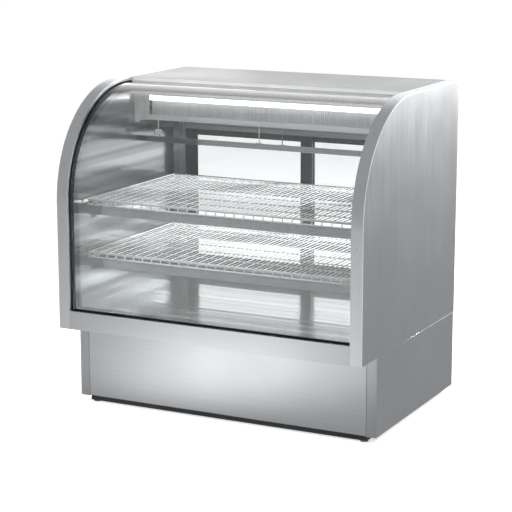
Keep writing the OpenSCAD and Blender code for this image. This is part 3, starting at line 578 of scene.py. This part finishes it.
def edge_bead(name, x):
    low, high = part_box("glass_outer")
    radius = 2 * MM
    bend = high.y - GLASS_FLAT - low.y
    centre = Vector((x, low.y + bend, high.z - bend))
    foot = Vector((x, low.y - radius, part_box("front_apron")[1].z + 0.5 * MM))
    bm = bmesh.new()
    circle = bmesh.ops.create_circle(bm, segments=10, radius=radius, cap_ends=False,
                                     matrix=Matrix.Translation(foot))["verts"]
    ring = list(dict.fromkeys(e for v in circle for e in v.link_edges))

    def pull(edges, step):
        made = bmesh.ops.extrude_edge_only(bm, edges=edges)["geom"]
        verts = [g for g in made if isinstance(g, bmesh.types.BMVert)]
        bmesh.ops.translate(bm, verts=verts, vec=step)
        return [g for g in made if isinstance(g, bmesh.types.BMEdge) and all(
            v in verts for v in g.verts)]

    ring = pull(ring, (0, 0, centre.z - foot.z))
    turned = bmesh.ops.spin(bm, geom=ring, cent=centre, axis=(1, 0, 0), angle=math.radians(-90),
                            steps=40, use_duplicate=False)["geom_last"]
    ring = [g for g in turned if isinstance(g, bmesh.types.BMEdge)]
    pull(ring, (0, high.y - 7 * MM - centre.y, 0))
    bmesh.ops.holes_fill(bm, edges=bm.edges)
    return finish_piece(bm, name, "cabinet", seal, smooth=True)


edge_bead("glass_edge_bead_left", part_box("end_trim_left")[1].x + 2 * MM)
edge_bead("glass_edge_bead_right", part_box("end_trim_right")[0].x - 2 * MM)

# %% [markdown]
# ## Fin packs
# Both coils carry pressed aluminium fins, spaced a few millimetres apart on their tubes. The real
# fins are 0.2 mm thick at 4 mm pitch. They are drawn 2.8 mm thick at 8 mm pitch, so that they
# show as the fine upright lines that the eye sees.

# %% Fins
FIN_PITCH = 8 * MM
FIN_THICKNESS = 2.8 * MM


def fin_pack(name, low, high, replaced):
    pitch, thickness = FIN_PITCH, FIN_THICKNESS
    count = round((high.x - low.x - thickness) / pitch)
    bm = bmesh.new()
    for i in range(count + 1):
        x = low.x + i * (high.x - low.x - thickness) / count
        plate(bm, (x, low.y, low.z), (x + thickness, high.y, high.z))
    return finish_piece(bm, name, "cabinet", fin_metal, replaced)


fin_pack("evaporator_fin_pack", *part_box("evaporator_fins"), ["evaporator_fins"])
dress(fin_metal, "condenser_coil")

# %% [markdown]
# ## Studio
# Steel shows mostly what it mirrors, so the surround matters more than the lamps. It is bright
# behind and above the case and dim in front of it. The floor is pale to the camera. Rays mirrored
# by the steel see it as a glow instead: a painted reflection, dim beside the case, with a painted
# pool of light in front of the base and a wide faint one further out, which the apron mirrors.

# %% Floor
floor_mesh = bpy.data.meshes.new("studio_floor")
floor_bm = bmesh.new()
bmesh.ops.create_grid(floor_bm, x_segments=1, y_segments=1, size=60)
floor_bm.to_mesh(floor_mesh)
floor_bm.free()
floor = bpy.data.objects.new("studio_floor", floor_mesh)
bpy.context.scene.collection.objects.link(floor)
floor_mat, floor_tree, floor_shader, floor_place = start(
    "pale_studio_floor", Roughness=0.9, Emission_Color=(1, 1, 1, 1), Emission_Strength=0.62)
floor_tree.links.new(shade(floor_tree, noise(floor_tree, floor_place, 900), "#f4f4f5", "#f8f8f8"),
                     floor_shader.inputs["Base Color"])


def pool(tree, place, centre, radius):
    """1 at a centre, falling to 0 at a radius."""
    away = add(tree, "ShaderNodeVectorMath", {1: centre}, {0: place}, operation="DISTANCE")
    return add(tree, "ShaderNodeMapRange", {"From Min": 0, "From Max": radius, "To Min": 1, "To Max": 0},
               {"Value": away.outputs["Value"]}, interpolation_type="SMOOTHSTEP").outputs["Result"]


near_pool = pool(floor_tree, floor_place, (-0.3, -1.1, 0), 0.82)
far_pool = pool(floor_tree, floor_place, (-0.7, -2.5, 0), 2.6)
# In mirrored rays the floor glows by these pools: a painted reflection of pools of light.
near_pool_glow = add(floor_tree, "ShaderNodeMapRange", {"To Min": 0.4, "To Max": 2.3},
                {"Value": near_pool}).outputs["Result"]
painted_pool_glow = add(floor_tree, "ShaderNodeMath", {1: 0.35}, {0: far_pool, 2: near_pool_glow},
            operation="MULTIPLY_ADD").outputs[0]
painted_reflection_glow = add(floor_tree, "ShaderNodeEmission", {"Color": (1, 1, 1, 1)}, {"Strength": painted_pool_glow})
mirrored = add(floor_tree, "ShaderNodeLightPath").outputs["Is Reflection Ray"]
floor_mix = add(floor_tree, "ShaderNodeMixShader", {}, {0: mirrored, 1: floor_shader.outputs[0],
                                                        2: painted_reflection_glow.outputs[0]})
floor_tree.links.new(floor_mix.outputs[0], floor_tree.nodes["Material Output"].inputs["Surface"])
floor_mesh.materials.append(floor_mat)

# %% [markdown]
# ## Surround
# The sky's brightness depends on the direction: dim in front and overhead, and bright behind the
# case, so the flat head of the curved glass mirrors a bright band that fades down the bend.

# %% Surround
world = bpy.data.worlds.new("soft_surround")
world.use_nodes = True
sky_tree = world.node_tree
way = add(sky_tree, "ShaderNodeSeparateXYZ", {},
          {0: add(sky_tree, "ShaderNodeTexCoord").outputs["Generated"]})
behind = add(sky_tree, "ShaderNodeMapRange", {"From Min": 0.5, "From Max": 0.9, "To Min": 0.34,
                                              "To Max": 1.2},
             {"Value": way.outputs["Y"]}, interpolation_type="SMOOTHSTEP").outputs["Result"]
leftward = add(sky_tree, "ShaderNodeMapRange", {"From Min": 0.7, "From Max": -0.7, "To Min": 0.7,
                                                "To Max": 1.2},
               {"Value": way.outputs["X"]}, interpolation_type="SMOOTHSTEP").outputs["Result"]
sky = add(sky_tree, "ShaderNodeMath", {}, {0: behind, 1: leftward}, operation="MULTIPLY")
backdrop = sky_tree.nodes["Background"]
backdrop.inputs["Color"].default_value = (1, 1, 1, 1)
sky_tree.links.new(sky.outputs[0], backdrop.inputs["Strength"])
bpy.context.scene.world = world
bpy.context.scene.view_settings.view_transform = "Standard"


# %% [markdown]
# ## Lamps
# Wide soft lamps fill the front and give the side wall and the top their soft highlights. They
# stay out of the glass: a lamp's own mirror image there would hide what is inside.

# %% Lamps
def soft_lamp(name, at, towards, size, power, mirrored=False):
    light = bpy.data.lights.new(name, "AREA")
    light.shape = "RECTANGLE"
    light.size, light.size_y = size
    light.energy = power
    lamp = bpy.data.objects.new(name, light)
    bpy.context.scene.collection.objects.link(lamp)
    lamp.location = at
    lamp.rotation_mode = "QUATERNION"
    lamp.rotation_quaternion = (Vector(towards) - Vector(at)).to_track_quat("-Z", "Y")
    lamp.visible_glossy = mirrored
    lamp.visible_camera = lamp.visible_transmission = False
    return lamp


soft_lamp("overhead_softbox", (-0.6, -2.2, 4.2), (0, 0, 0.6), (3.5, 2.5), 110)
soft_lamp("left_softbox", (-4.0, -3.0, 2.2), (0, 0, 0.8), (2.5, 2.5), 60)
soft_lamp("side_highlight", (2.0, 3.6, 1.7), (0.6, 0.4, 1.1), (1.1, 0.9), 150, True)
soft_lamp("top_highlight", (-2.2, 2.9, 1.7), (-0.5, 0.2, 1.2), (1.2, 0.8), 2, True)
